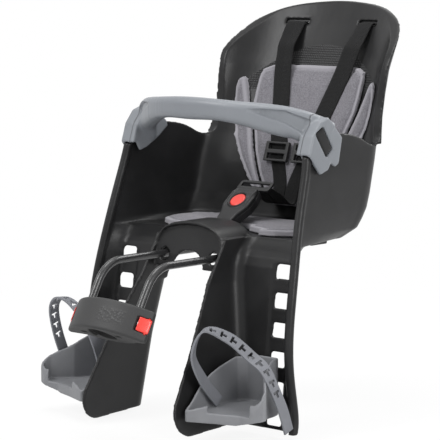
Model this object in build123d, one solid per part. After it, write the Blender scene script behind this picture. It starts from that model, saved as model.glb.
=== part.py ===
from build123d import *
import os
from math import cos, hypot, radians, sin

# Front-mounted child bike seat in millimetres.
# A moulded bucket shell carries pads, a harness, a clip-on safety bar and two sliding footrests. A bent
# steel bar under the pan drops into a block that clamps round the head tube of the bicycle. The origin is
# the centre of that clamp's bore. +Z is up, the child faces -Y, and left and right are as seen from the
# front.

# General
WALL = 4.0              # moulded shell
SEAT_GAP = 0.3          # between pieces that rest on each other
RUN_GAP = 0.08          # radial, a shaft in its hole
SLIDE_GAP = 0.4         # beside a sliding piece
BOLT_PLAY = 0.2         # radial, a bolt in its clearance hole
REACH = 300.0           # half length of the prisms that trim the mouldings

# Support bar
BAR_D = 10.0
BAR_SPACING = 85.0
BAR_HEIGHT = 66.0       # axis of the level run
BAR_LEAN = 30.0         # legs, from the vertical, as the head tube leans
BAR_BEND = 45.0
BAR_REAR = 300.0
BAR_REAR_BEND = 30.0
BAR_SEAT = -17.0        # lower end, along the leg

# Bucket: level, half width, back, corner depth, corner squareness
TUB_LEVELS = (
    (100.0, 146.0, 331.0, 42.0, 2.8),
    (125.0, 150.0, 345.0, 44.0, 3.0),
    (165.0, 151.0, 356.0, 46.0, 3.0),
    (205.0, 149.0, 369.0, 50.0, 3.0),
    (240.0, 144.0, 383.0, 58.0, 2.8),
    (300.0, 142.0, 411.0, 70.0, 2.4),
    (352.0, 148.0, 436.0, 74.0, 2.2),
    (400.0, 150.0, 458.0, 74.0, 2.2),
)
TUB_STEPS = 2           # bands between one level and the next
PAN_TOP = 92.0
PAN_HALF = 138.0
PAN_BACK = 308.0
TUB_FRONT = 60.0        # the sections are closed ahead of the rim, then trimmed
BACK_TOP = 386.5
RIM_R = 6.0             # rolled front edge
RIM_PROUD = 6.0         # turned-out edge of the backrest
RIM_WIDTH = 13.0
RIM_FOOT = 186.0        # lowest level and foremost depth of that edge
RIM_START = 348.0

# Front edge of the bucket and of the outer guard walls: level, half width, depth
RIM_LINE = (
    (199.0, 155.0, 194.0),
    (170.0, 158.0, 187.0),
    (107.0, 163.0, 168.0),
    (42.0, 169.0, 152.0),
    (7.0, 171.0, 145.0),
    (-60.0, 172.0, 142.0),
    (-143.0, 174.0, 147.0),
)

# Leg guards: level, tunnel half width, outer corner, outer front edge
GUARD_LEVELS = (
    (92.0, 60.0, 151.0, 165.0),
    (88.0, 60.0, 150.0, 165.2),
    (84.0, 60.0, 149.0, 165.5),
    (78.0, 60.0, 148.0, 166.0),
    (70.0, 60.0, 148.0, 166.8),
    (58.0, 60.0, 148.0, 168.0),
    (37.0, 61.0, 149.0, 170.0),
    (9.0, 66.0, 151.0, 171.0),
    (-43.0, 75.0, 155.0, 172.0),
    (-108.0, 81.0, 161.0, 173.5),
    (-150.0, 85.0, 165.0, 174.5),
)
CALF_Y = 176.0          # calf wall where it leaves the pan
CALF_Z = 78.0
CALF_SLOPE = 0.14
KNEE_Z = 58.0           # the calf wall turns back into the pan from here
KNEE_CURVE = 0.0208     # how fast it does so
GUARD_BOTTOM = -147.0
GUARD_CORNER = 15.0     # inner and outer corner of the leg channel
THIGH_CORNER = 14.0
TOE_TOP = (35.0, -100.0)     # round front corner of the inner wall, in depth and height
TOE_BOTTOM = (66.0, -143.5)
GUARD_NOSE = 20.0       # the sections are closed ahead of the inner walls, then trimmed

# Footrest holes in the calf walls
HOLE_X = 134.0          # uppermost hole
HOLE_SPREAD = 0.04      # the row leans outwards as it goes down
HOLE_W = 22.0
HOLE_H = 17.5
HOLE_PITCH = 36.4
HOLE_TOP = 55.0
HOLE_COUNT = 6
PANEL_EDGE = 7.0        # recess round the row of holes
PANEL_DEPTH = 1.6

# Pommel
POMMEL_TOP = 110.0
POMMEL_REAR = 206.0
POMMEL_WALL = 3.4
POMMEL_DROP = 30.0      # the roof is drawn down to here
APRON_BOTTOM = 50.0
APRON_TOP_Y = 156.0     # front of the apron at the roof and at its foot
APRON_FOOT_Y = 140.0
APRON_ARCH_R = 27.0
EYELET_R = 7.5

# Under the pan
SADDLE_FRONT = (232.0, 246.0)   # depth of the two saddles that the bar lies in
SADDLE_REAR = (254.0, 268.0)
SADDLE_HALF = 56.0
RIB_HALF = 105.0
CLAMP_PLATE_T = 4.0
CLAMP_SCREW_D = 4.0
CLAMP_SCREW_X = 24.0
CLAMP_SCREW_TIP = 82.0

# Pads and webbing
PAD_T = 9.0
SEAT_PAD_T = 10.0
WEB_W = 22.0            # crotch strap and lower harness
SHOULDER_W = 28.0       # harness above the adjusters
WEB_T = 1.6
STRAP_LIFT = 1.2        # straps lie this far off the pads
CROTCH_SLOT = 211.0
SLOT_Z = 358.0
SLOT_X = 61.0
SLOT_W = 37.0
SLOT_H = 8.0
STOP_SIZE = (48.0, 12.0, 3.0)
ADJUSTER_SIZE = (40.0, 27.0, 5.0)
ADJUSTER_X = 24.0
ADJUSTER_Z = 184.0
STRAP_LOW = 11.6        # the two straps lie side by side at the bight

# Buckle
BUCKLE_FOOT = (210.0, 107.0)    # lower end of its upper face, in depth and height
BUCKLE_RISE = 37.7              # from the level, degrees
BUCKLE_LENGTH = 62.0
BUCKLE_HALF = 22.0
BUCKLE_T = 16.0
PART_LINE = 2.0                 # joint between the buckle's halves, above its middle
BUTTON_R = 11.0
BUTTON_AT = 38.0
BUTTON_TRAVEL = 3.0
BUTTON_HEIGHT = 6.6
SPRING_R = 6.0
TONGUE_T = 3.0
TONGUE_W = 26.0

# Safety bar
HOOP_LINE = (                   # half span, depth, height, section depth, section height
    (0.0, 150.0, 256.0, 21.0, 27.0),
    (50.0, 157.0, 254.5, 21.0, 27.0),
    (75.0, 167.0, 251.0, 22.0, 30.0),
    (100.0, 183.0, 245.5, 23.0, 37.0),
    (125.0, 202.0, 240.0, 24.0, 38.0),
    (146.0, 224.0, 226.0, 22.0, 46.0),
    (156.0, 234.0, 219.0, 18.0, 44.0),
)
CHEEK_IN = 141.0                # clip over the arm: inner face, slot and outer face
CHEEK_OUT = 165.0
ARM_SLOT_IN = 145.5
ARM_SLOT_OUT = 159.0

# Footrests
TRAY_TOP = -108.0               # floor
TRAY_T = 3.0
TRAY_LIP = 13.0
TRAY_IN = 89.0
TRAY_FRONT = 38.0
TRAY_WALL_TOP = -48.0
TRAY_PLAN = ((TRAY_IN, TRAY_FRONT), (127.0, 53.0), (160.0, 64.0), (182.0, 61.0), (194.0, 65.0), (189.0, 79.0),
             (168.0, 102.0), (158.0, 125.0))
TRAY_RISE_X = 150.0             # the lip's lower edge rises from here outwards
TRAY_END = 176.0                # the outer wall stands on the lip from here outwards
TRAY_CORNER = 150.0             # outer end of the back wall
TRAY_FIN = 118.0                # the inner fin lies inside this width
FIN_LINE = ((TRAY_FRONT, TRAY_TOP), (45.0, -104.0), (66.0, -83.0), (87.0, -68.0), (110.0, -59.0),
            (135.0, -52.0))
WALL_LINE = ((59.0, TRAY_TOP), (62.0, -98.0), (66.0, -87.0), (80.0, -75.0), (100.0, -63.0), (118.0, -53.0),
             (135.0, -48.5))
LIP_LINE = ((70.0, TRAY_TOP), (84.0, -75.0), *WALL_LINE[4:])
FOOT_STRAP_W = 16.0
FOOT_STRAP_T = 2.5

# Foot straps: middle line, each point with the direction of the strap's width
FOOT_STRAP_RIGHT = (
    ((100, 92, -102.6), (0, 1, 0.2)),
    ((97, 66, -72), (-0.2, 1, 0.4)),
    ((96, 49, -38), (-0.5, 1, 0.1)),
    ((106, 58, -8), (-0.5, 1, 0.15)),
    ((128, 80, -18), (-0.1, 1, 0.6)),
    ((152, 95, -41), (0.1, 1, 0.6)),
    ((170, 98, -54), (0, 1, 0.5)),
    ((180, 103, -76), (0, 1, 0.4)),
    ((184, 116, -106), (0, 1, 0.4)),
    ((184, 127, -134), (0, 1, 0.3)),
)
FOOT_STRAP_LEFT = (
    ((-100, 92, -106.4), (0, 1, 0.2)),
    ((-103, 86, -66), (0, 1, 0.2)),
    ((-116, 78, -28), (0, 1, 0.1)),
    ((-138, 72, -2), (0, 1, 0)),
    ((-160, 70, 4), (0, 1, -0.1)),
    ((-176, 74, -12), (0, 1, 0)),
    ((-182, 87, -48), (0, 1, 0.1)),
    ((-185, 108, -92), (0, 1, 0.2)),
    ((-185, 120, -122), (0, 1, 0.2)),
)

# Mounting block, seen along the head tube
BLOCK_W = 132.0
BLOCK_H = 41.0
BLOCK_NOSE = 27.0               # front of the block, ahead of the bore's axis
BLOCK_SHOULDER = 3.0            # ends of the bow, behind the axis
BLOCK_SPLIT = 9.0               # parting plane, behind the axis
BLOCK_REAR = 30.0
BLOCK_REAR_W = 78.0
CLAMP_GAP = 1.0
TUBE_R = 18.0                   # head tube that the clamp takes
LINER_T = 2.0
CLAMP_BOLT_D = 6.0
CLAMP_BOLT_X = 29.0
NUT_FLATS = 10.0
NUT_T = 5.0
NUT_AT = -7.0
BOLT_SEAT = 20.0                # under the bolt heads, behind the axis
BUTTON_H = 18.0                 # release buttons: height, inner face, travel and how far they stand out
BUTTON_INNER = 55.5
BUTTON_PRESS = 3.0
BUTTON_PROUD = 1.2
FLANGE_H = 24.0                 # flange that keeps each button in its pocket
FLANGE_END = 64.0
FLANGE_FRONT = 1.0
FLANGE_REAR = 5.0
SPRING_WIRE = 1.0

LEG = Vector(0, sin(radians(BAR_LEAN)), cos(radians(BAR_LEAN)))


def calf(z):
    """Front of the calf wall at a level."""
    return CALF_Y + (z - CALF_Z) * CALF_SLOPE


def knee(z):
    """Front of the calf wall with its turn back into the pan."""
    return calf(z) + max(0, z - KNEE_Z) ** 2 * KNEE_CURVE


def hole_x(z):
    """Centre of the row of footrest holes at a level."""
    return HOLE_X + (HOLE_TOP - z) * HOLE_SPREAD


def smooth(rows, steps):
    """Rows of numbers with extra rows on the smooth curve through them."""
    first = [2 * a - b for a, b in zip(rows[0], rows[1])]
    last = [2 * a - b for a, b in zip(rows[-1], rows[-2])]
    line = [first, *rows, last]
    fine = []
    for before, start, stop, after in zip(line, line[1:], line[2:], line[3:]):
        for i in range(steps):
            t = i / steps
            fine.append([b + (c - a) * t / 2 + (2 * a - 5 * b + 4 * c - d) * t ** 2 / 2
                         + (3 * b - a - 3 * c + d) * t ** 3 / 2
                         for a, b, c, d in zip(before, start, stop, after)])
    return fine + [list(rows[-1])]


def tub_at(x, z, grow=0.0):
    """Depth of the bucket's inner face, or of a face grown from it, at a width and a level."""
    levels = smooth(TUB_LEVELS, TUB_STEPS)
    for low, high in zip(levels, levels[1:]):
        if z <= high[0]:
            break
    share = (z - low[0]) / (high[0] - low[0])
    half, back, depth, square = (a + (b - a) * share for a, b in zip(low[1:], high[1:]))
    side = min(1.0, (abs(x) / (half + grow)) ** (square / 2))
    return back + grow - (depth + grow) * (1 - (1 - side ** 2) ** (1 / square))


def prism_x(half, *curves):
    """Solid across the seat, from an outline given in depth and height."""
    return extrude(Plane.YZ * make_face(curves), half, both=True)


def slab_x(points, x0, x1):
    """Slab between two widths, from corners given in depth and height."""
    return extrude(Plane.YZ.offset(x0) * make_face(Polyline(*points, close=True)), x1 - x0)


def seen_from_front(outline):
    """Solid through the seat from front to rear, from an outline given in width and height."""
    return extrude(Plane.XZ * make_face(outline), 2 * REACH, both=True)


def both_sides(solid):
    """A right-hand solid and its mirror image."""
    return solid + mirror(solid, about=Plane.YZ)


def box(x0, x1, y0, y1, z0, z1):
    return Pos((x0 + x1) / 2, (y0 + y1) / 2, (z0 + z1) / 2) * Box(x1 - x0, y1 - y0, z1 - z0)


def rim_at(z):
    """Half width and depth of the rolled front edge at a level."""
    z = min(z, RIM_LINE[0][0])
    for (z0, x0, y0), (z1, x1, y1) in zip(RIM_LINE, RIM_LINE[1:]):
        if z >= z1:
            break
    share = (z - z0) / (z1 - z0)
    return x0 + (x1 - x0) * share, y0 + (y1 - y0) * share


# Bucket
def tub_section(z, half, back, depth, square, grow):
    """D-shaped level section: flared sides and a superellipse across the back."""
    steps = 8
    right = []
    for i in range(steps, 0, -1):
        a = radians(90 * i / steps)
        x = (half + grow) * sin(a) ** (2 / square)
        y = back + grow - (depth + grow) * (1 - cos(a) ** (2 / square))
        right.append(Vector(x, y, z))
    rim_x, rim_y = rim_at(z)
    run = back - depth
    flare = (rim_x - WALL / 2 - half) / (run - rim_y)
    right.insert(0, Vector(half + grow + flare * (run - TUB_FRONT), TUB_FRONT, z))
    left = [Vector(-p.X, p.Y, p.Z) for p in reversed(right)]
    back_points = [*right[1:], Vector(0, back + grow, z), *left[:-1]]
    shares = [i / (len(back_points) - 1) for i in range(len(back_points))]
    return make_face([Edge.make_line(right[0], right[1]), Edge.make_spline(back_points, parameters=shares),
                      Edge.make_line(left[-2], left[-1]), Edge.make_line(left[-1], right[0])])


def tub_block(grow, floor):
    """Solid block of the bucket, grown outwards, from the floor up."""
    base = (floor, PAN_HALF, PAN_BACK, TUB_LEVELS[0][3], TUB_LEVELS[0][4])
    return loft([tub_section(*level, grow) for level in [base, *smooth(TUB_LEVELS, TUB_STEPS)]], ruled=True)


def bucket_outline():
    """Side view of the bucket: rim, arm, clip tongue, notch and wing, closed behind and below."""
    rim = [(y, z) for z, _, y in RIM_LINE if z > PAN_TOP - 10]
    rim.append((calf(PAN_TOP - 12) - 14, PAN_TOP - 12))
    arm = Spline((240, 223), (275, 224), (312, 214), (334, 205.5), (346, 207), (353, 225), (360, 258),
                 (366, 298), (374, 318), (393, 337), (414, 355), (433, 374), (452, 400))
    return [
        Polyline((452, 400), (500, 400), (500, rim[-1][1]), rim[-1]),
        Polyline(*reversed(rim)),
        Polyline(rim[0], (203, 228), (214, 236), (228, 232), (240, 223)),
        arm,
    ]


def back_outline():
    """Front view of the backrest's top edge, closed below."""
    right = [(153, 296), (148, 322), (140, 346), (130, 356), (108.5, 368.5), (84, 377.5), (40, 384.5)]
    left = [(-x, z) for x, z in reversed(right)]
    top = Spline(*right, (0, BACK_TOP), *left)
    return [top, Polyline(left[-1], (-168, 40), (168, 40), right[0])]


def bucket():
    """Back, sides and pan of the shell, with the turned-out edge of the backrest."""
    hollow = tub_block(0, PAN_TOP)
    side = prism_x(REACH, *bucket_outline())
    front = seen_from_front(back_outline())
    trim = side & front
    band = (side - Pos(0, RIM_WIDTH, 0) * side) + (front - Pos(0, 0, -RIM_WIDTH) * front)
    band &= trim & box(-REACH, REACH, RIM_START, 2 * REACH, RIM_FOOT, 2 * REACH)
    walls = (tub_block(WALL, PAN_TOP - WALL) & trim) + (tub_block(WALL + RIM_PROUD, PAN_TOP - WALL) & band)
    corner, edge = GUARD_LEVELS[0][2:]
    front, rear = rim_at(PAN_TOP)[1] - 3 * WALL, knee(PAN_TOP) - WALL / 2
    plan = Polyline((-edge, front), (-corner, rear), (corner, rear), (edge, front), close=True)
    leg_room = Pos(0, 0, PAN_TOP - 3 * WALL) * extrude(make_face(plan), 5 * WALL)
    return walls - hollow - leg_room


def rim_roll():
    """Rolled edge from the arm down to the foot of the leg guard, right side."""
    return loft([Pos(x, y, z) * Circle(RIM_R) for z, x, y in RIM_LINE])


# Leg guards
def guard_section(z, inner, corner, front):
    """Level section of the right guard: inner wall, calf wall and splayed outer wall."""
    rear = knee(z)
    nose = rim_at(z)[1]
    inside = FilletPolyline((inner, GUARD_NOSE), (inner, rear), (corner, rear), (front - WALL, nose),
                            radius=[GUARD_CORNER, THIGH_CORNER])
    outside = FilletPolyline((inner - WALL, GUARD_NOSE), (inner - WALL, rear + WALL),
                             (corner + 2, rear + WALL), (front, nose + 1),
                             radius=[GUARD_CORNER + WALL, THIGH_CORNER + WALL])
    ends = [Line(inside @ 0, outside @ 0), Line(inside @ 1, outside @ 1)]
    return Pos(0, 0, z) * make_face([inside, outside, *ends])


def guard_outline():
    """Side view of the inner wall: sloped front edge, round toe and level foot."""
    front = Polyline((150, 95), (144, 82), (115, 37), (98, 9), (67, -43), TOE_TOP)
    slope = (TOE_TOP[0] - 67, TOE_TOP[1] + 43)
    toe = TangentArc(TOE_TOP, TOE_BOTTOM, tangent=slope)
    close = Polyline(TOE_BOTTOM, (138, GUARD_BOTTOM + 7), (200, GUARD_BOTTOM + 3), (220, 95), (150, 95))
    return [front, toe, close]


def hole_panel():
    """Recess in the front of the right calf wall, round its row of holes."""
    top = HOLE_TOP + HOLE_H / 2 + PANEL_EDGE
    low = HOLE_TOP - (HOLE_COUNT - 1) * HOLE_PITCH - HOLE_H / 2 - PANEL_EDGE / 2
    inner = [(hole_x(z) - HOLE_W / 2 - PANEL_EDGE, z) for z in (top, low)]
    outer = [(hole_x(z) + HOLE_W / 2 + PANEL_EDGE / 2, z) for z in (low, top)]
    face = [(calf(z) + PANEL_DEPTH, z) for z in (top, low)]
    front = [(calf(z) - REACH, z) for z in (low, top)]
    plan = FilletPolyline(*inner, *outer, close=True, radius=PANEL_EDGE / 2)
    return seen_from_front(plan) & prism_x(REACH, Polyline(*face, *front, close=True))


def leg_guard():
    """Right leg guard with its row of footrest holes and the recessed panel around them."""
    guard = loft([guard_section(*level) for level in GUARD_LEVELS], ruled=True)
    guard = (guard & prism_x(REACH, *guard_outline())) - hole_panel() + rim_roll()
    for i in range(HOLE_COUNT):
        z = HOLE_TOP - i * HOLE_PITCH
        guard -= Pos(hole_x(z), calf(z), z) * Box(HOLE_W, 6 * WALL, HOLE_H)
    return guard


# Pommel
def arch(half, top, drop):
    """Front view of the tunnel roof down to a level."""
    right = [(half + 1, drop), (half, 60), (half - 1, 78), (half - 11, 97), (half - 30, top - 3)]
    left = [(-x, z) for x, z in reversed(right)]
    return make_face([Spline(*right, (0, top), *left), Line(left[-1], right[0])])


def pommel():
    """Roof of the tunnel between the guards, with the apron that the support bar passes through."""
    half = GUARD_LEVELS[0][1] - SLIDE_GAP
    low = POMMEL_DROP - 5
    outline = Polyline((152, 120), (147, 110), (144, 82), (115, 37), (110, low),
                       (calf(POMMEL_DROP) - WALL, low), (calf(60), 60), (calf(80), 80),
                       (POMMEL_REAR, PAN_TOP - WALL), (POMMEL_REAR, 120), close=True)
    run = Plane.XZ.offset(-POMMEL_REAR)
    filled = extrude(run * arch(half, POMMEL_TOP, POMMEL_DROP), POMMEL_REAR)
    hollow = extrude(run * arch(half - POMMEL_WALL, POMMEL_TOP - POMMEL_WALL, POMMEL_DROP), POMMEL_REAR)
    roof = (filled - hollow) & prism_x(REACH, outline)
    top, foot = APRON_TOP_Y, APRON_FOOT_Y
    lean = Polyline((top, POMMEL_TOP), (top + WALL, POMMEL_TOP), (foot + WALL, APRON_BOTTOM),
                    (foot, APRON_BOTTOM), close=True)
    apron = prism_x(half, lean) & filled
    apron -= Pos(0, foot, APRON_BOTTOM - 4) * Rot(90, 0, 0) * Cylinder(APRON_ARCH_R, 60)
    for x in (-BAR_SPACING / 2, BAR_SPACING / 2):
        apron -= Pos(x, foot, BAR_HEIGHT) * Rot(90, 0, 0) * Cylinder(EYELET_R, 60)
    rear = filled & box(-REACH, REACH, POMMEL_REAR - WALL, POMMEL_REAR, PAN_TOP - WALL, REACH)
    return roof + apron + rear, hollow


def back_plane(x, z):
    """Plane on the front of the backrest that looks rearwards through its wall."""
    up = (tub_at(x, z + 10) - tub_at(x, z - 10)) / 20
    across = (tub_at(x + 10, z) - tub_at(x - 10, z)) / 20
    return Plane((x, tub_at(x, z), z), x_dir=(1, across, 0), z_dir=(-across, 1, -up))


def saddles():
    """Ribs under the pan: two saddles over the support bar and a cross rib behind them."""
    ribs = box(-RIB_HALF, RIB_HALF, SADDLE_REAR[1] - 2, SADDLE_REAR[1] + 30, BAR_HEIGHT + BAR_D,
               PAN_TOP - WALL / 2)
    for y0, y1 in (SADDLE_FRONT, SADDLE_REAR):
        ribs += box(-SADDLE_HALF, SADDLE_HALF, y0, y1, BAR_HEIGHT, PAN_TOP - WALL / 2)
    for x in (-BAR_SPACING / 2, BAR_SPACING / 2):
        ribs -= Pos(x, SADDLE_FRONT[0], BAR_HEIGHT) * Rot(90, 0, 0) * Cylinder(BAR_D / 2 + RUN_GAP, 200)
    for x, y in clamp_screw_places():
        ribs -= Pos(x, y, CLAMP_SCREW_TIP - 15) * Cylinder(CLAMP_SCREW_D / 2 + RUN_GAP, 32)
    return ribs


def clamp_screw_places():
    return [(x, (y0 + y1) / 2) for x in (-CLAMP_SCREW_X, CLAMP_SCREW_X)
            for y0, y1 in (SADDLE_FRONT, SADDLE_REAR)]


def clip_catches():
    """Raised catches on the arms that snap into the windows of the safety bar, right side."""
    return slab_x(inset(WINDOW, 1.2), ARM_SLOT_OUT - 6, CHEEK_OUT - 1)


def seat_shell():
    roof, tunnel = pommel()
    shell = bucket() - (tunnel & box(-REACH, REACH, 0, POMMEL_REAR - WALL / 2, 0, POMMEL_TOP - 5))
    shell += roof
    shell += both_sides(leg_guard())
    shell += saddles()
    shell += both_sides(clip_catches())
    for x in (-SLOT_X, SLOT_X):
        shell -= back_plane(x, SLOT_Z) * Box(SLOT_W, SLOT_H, 60)
    shell -= Pos(0, CROTCH_SLOT, PAN_TOP) * Box(WEB_W + 4, 2 * WEB_T + 2, 6 * WALL)
    return shell


# Pads
def tub_layer():
    """Layer of padding against the inside of the bucket."""
    return tub_block(-SEAT_GAP, PAN_TOP + 1) - tub_block(-PAD_T, PAN_TOP - 1)


def back_pad():
    right = [(74, 301), (88, 295), (92, 284), (92, 258), (90, 240), (81, 213), (72, 185), (57, 152),
             (40, 126), (20, 113)]
    left = [(-x, z) for x, z in reversed(right)]
    outline = Polyline(*right, *left, close=True)
    room = box(-REACH, REACH, PAN_BACK - 50, 2 * REACH, PAN_TOP, 2 * REACH)
    return tub_layer() & seen_from_front(outline) & room


def side_pad():
    """Strip up the right wing, beside the back pad."""
    outline = Polyline((107, 279.5), (111, 284), (115, 283.5), (119.5, 278), (122.5, 268), (123, 258),
                       (121.5, 240), (118, 222), (106, 195), (93.5, 172), (82, 156), (64, 132), (60, 126),
                       (42.5, 126), (59.5, 152), (74.5, 185), (83.5, 213), (94, 240), (100.5, 260),
                       (104, 271), close=True)
    wing = Pos(0, 8, 0) * prism_x(REACH, *bucket_outline())
    room = box(0, REACH, PAN_BACK - 18, 2 * REACH, PAN_TOP, 2 * REACH)
    return tub_layer() & seen_from_front(outline) & room & wing


def seat_pad():
    right = [(66, 202), (90, 205), (117, 222), (129, 250), (126, 286), (100, 303)]
    notch = [(26, 236), (30, 226), (66, 212)]
    left = [(-x, y) for x, y in reversed(right)]
    outline = Polyline(*right, *left, *[(-x, y) for x, y in reversed(notch)], *notch, close=True)
    return Pos(0, 0, PAN_TOP + SEAT_GAP) * extrude(make_face(outline), SEAT_PAD_T)


# Webbing
def ribbon(stations, width, thick, ruled=False):
    """Flat strap through points, each given with the direction of the strap's width."""
    points = [Vector(*p) for p, _ in stations]
    sections = []
    for i, (_, across) in enumerate(stations):
        run = (points[min(i + 1, len(points) - 1)] - points[max(i - 1, 0)]).normalized()
        across = Vector(*across)
        across -= run * across.dot(run)
        sections.append(Plane(points[i], x_dir=across, z_dir=run) * Rectangle(width, thick))
    return loft(sections, ruled=ruled)


def on_pad(x, z, width):
    """Middle of a strap that lies just in front of the back pad."""
    return (x, tub_at(abs(x) + width / 2, z, -PAD_T) - STRAP_LIFT - WEB_T / 2, z)


def shoulder_strap(side, low_x):
    """Harness strap: sewn hem behind the backrest, through its slot, down the pad and up to the tongue."""
    slot = back_plane(side * SLOT_X, SLOT_Z)
    level = (1, 0, 0)
    hem = STOP_SIZE[2] + WALL + 1.2
    out = slot * Pos(0, 0, (hem - 3) / 2) * Box(SHOULDER_W, WEB_T, hem + 3)
    sewn = slot * Pos(0, 0, hem + 2) * Box(SHOULDER_W, 6, 4)
    top = slot.from_local_coords((0, 0, -2.4))
    x = side * ADJUSTER_X
    wide = SHOULDER_W
    line = smooth([(58, 326), (52, 290), (40, 245), (ADJUSTER_X, ADJUSTER_Z)], 3)
    lying = [(on_pad(side * px, pz, wide), level) for px, pz in line]
    down = ribbon([(top, slot.x_dir), *lying], wide, WEB_T, True)
    foot = on_pad(low_x, 118, wide)
    end = tongue_eye()
    loop = ribbon([(on_pad(x, ADJUSTER_Z + 8, wide), level), (on_pad(x, ADJUSTER_Z - 8, wide), level),
                   (on_pad(low_x, 140, wide), level), (foot, level),
                   ((low_x, foot[1] - 14, foot[2] + 4), level),
                   ((low_x, (foot[1] + end[1]) / 2, (foot[2] + end[2]) / 2 + 2), level),
                   ((low_x, end[1] + 5, end[2] - 3), level)], WEB_W, WEB_T, True)
    return out + sewn + down + loop


def strap_stop(side):
    """Slotted bar behind the backrest that the hem can't pull through."""
    width, height, thick = STOP_SIZE
    plate = back_plane(side * SLOT_X, SLOT_Z) * Pos(0, 0, WALL + thick / 2 + 0.2)
    return plate * (Box(width, height, thick) - Box(SHOULDER_W + 1.5, WEB_T + 1.2, 2 * thick))


def strap_adjuster(side):
    """Ladder-lock slider in front of the strap: a frame with a cross bar."""
    width, height, thick = ADJUSTER_SIZE
    strap = Vector(on_pad(side * ADJUSTER_X, ADJUSTER_Z, SHOULDER_W))
    above = Vector(on_pad(side * ADJUSTER_X, ADJUSTER_Z + height / 2, SHOULDER_W))
    rear = Vector(1, 0, 0).cross(strap - above)
    place = Plane(strap, x_dir=(1, 0, 0), z_dir=rear) * Pos(0, 0, -(WEB_T + thick) / 2 - 1)
    frame = Box(width, height, thick)
    for y in (-height / 4, height / 4):
        frame -= Pos(0, y, 0) * Box(SHOULDER_W + 2, height / 2 - 6, 2 * thick)
    return place * frame


def crotch_strap():
    """Strap from under the pan up to the foot of the buckle."""
    level = (1, 0, 0)
    plane = buckle_plane()
    foot = plane.from_local_coords((0, -0.8, 0))
    strap = ribbon([((0, CROTCH_SLOT, PAN_TOP - WALL - 4), level), ((0, CROTCH_SLOT, PAN_TOP), level),
                    ((0, CROTCH_SLOT + 0.6, PAN_TOP + 4), level), (foot, level)], WEB_W, WEB_T)
    return strap + box(-WEB_W / 2 - 4, WEB_W / 2 + 4, CROTCH_SLOT - 5, CROTCH_SLOT + 5,
                       PAN_TOP - WALL - 5, PAN_TOP - WALL - SEAT_GAP)


# Buckle
def buckle_plane():
    """Middle plane of the buckle, with its length along local y and its face along local z."""
    rise = radians(BUCKLE_RISE)
    face = Vector(0, -sin(rise), cos(rise))
    foot = Vector(0, *BUCKLE_FOOT) - face * (BUCKLE_T / 2)
    return Plane(foot, x_dir=(1, 0, 0), z_dir=face)


def tongue_eye():
    """Middle of the tongue's strap slot."""
    return tuple(buckle_plane().from_local_coords((0, BUCKLE_LENGTH + 14, 0)))


def buckle_outline():
    half = BUCKLE_HALF
    right = [(half * 0.6, 0), (half * 0.68, 14), (half, 30), (half, 46), (half * 0.8, BUCKLE_LENGTH)]
    left = [(-x, y) for x, y in reversed(right)]
    return make_face(Polyline(*right, *left, close=True))


def buckle_body():
    plane = buckle_plane()
    body = extrude(buckle_outline(), BUCKLE_T / 2 + PART_LINE)
    body = Pos(0, 0, -BUCKLE_T / 2) * fillet(body.edges().group_by(Axis.Z)[0], 2)
    body -= Pos(0, BUTTON_AT, PART_LINE) * Cylinder(BUTTON_R + 0.4, 2 * BUTTON_TRAVEL + 0.4)
    body -= Pos(0, BUTTON_AT, PART_LINE) * Cylinder(SPRING_R + 1.2, 14)
    body -= Pos(0, BUCKLE_LENGTH, -1) * Box(TONGUE_W + 0.6, 24, TONGUE_T + 0.6)
    return plane * body


def buckle_cover():
    cover = extrude(buckle_outline(), BUCKLE_T / 2 - PART_LINE - 0.1)
    cover = Pos(0, 0, PART_LINE + 0.1) * fillet(cover.edges().group_by(Axis.Z)[-1], 2.5)
    return buckle_plane() * (cover - Pos(0, BUTTON_AT, 0) * Cylinder(BUTTON_R + RUN_GAP, 60))


def buckle_button():
    button = Cylinder(BUTTON_R, BUTTON_HEIGHT)
    button = fillet(button.edges().group_by(Axis.Z)[-1], 1.2)
    return buckle_plane() * Pos(0, BUTTON_AT, PART_LINE + 0.6 + BUTTON_HEIGHT / 2) * button


def coil(radius, length, turns):
    """Compression spring along local z, from the origin up."""
    path = Helix(length / turns, length - SPRING_WIRE, radius)
    start = Plane(path @ 0, x_dir=(1, 0, 0), z_dir=path % 0)
    return Pos(0, 0, SPRING_WIRE / 2) * sweep(start * Circle(SPRING_WIRE / 2), path)


def buckle_spring():
    floor = PART_LINE - 7
    return buckle_plane() * Pos(0, BUTTON_AT, floor + 0.1) * coil(SPRING_R, PART_LINE + 0.6 - floor - 0.2, 4)


def buckle_tongue():
    """Flat tongue in the buckle's mouth with a wide eye for the shoulder straps."""
    blade = Pos(0, BUCKLE_LENGTH, -1) * Box(TONGUE_W, 22, TONGUE_T)
    eye = Pos(0, BUCKLE_LENGTH + 13, -1) * Box(2 * WEB_W + 12, 18, TONGUE_T)
    eye = fillet(eye.edges().filter_by(Axis.Z), 5)
    opening = Pos(0, BUCKLE_LENGTH + 14, -1) * Box(2 * WEB_W + 3, 7, 3 * TONGUE_T)
    return buckle_plane() * (blade + eye - opening)


# Safety bar
CHEEK = ((189, 201), (211, 176), (226, 181), (232, 190), (240, 184), (247, 188), (254, 221), (226, 248),
         (211, 243), (197, 226))
FLAP = ((194, 206), (203, 189.5), (216, 193), (238, 205), (258, 220), (254, 228), (226, 248), (211, 243),
        (197, 226))
NOSE = ((188.5, 200.5), (197, 226), (211, 243), (216, 239), (204, 230), (195, 200.5))
WINDOW = ((216, 237), (200, 228), (222, 197), (235, 208))


def inset(points, amount):
    """Polygon drawn in towards its centre."""
    cy = sum(y for y, _ in points) / len(points)
    cz = sum(z for _, z in points) / len(points)
    return [(y + (cy - y) * amount / hypot(cy - y, cz - z), z + (cz - z) * amount / hypot(cy - y, cz - z))
            for y, z in points]


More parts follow.
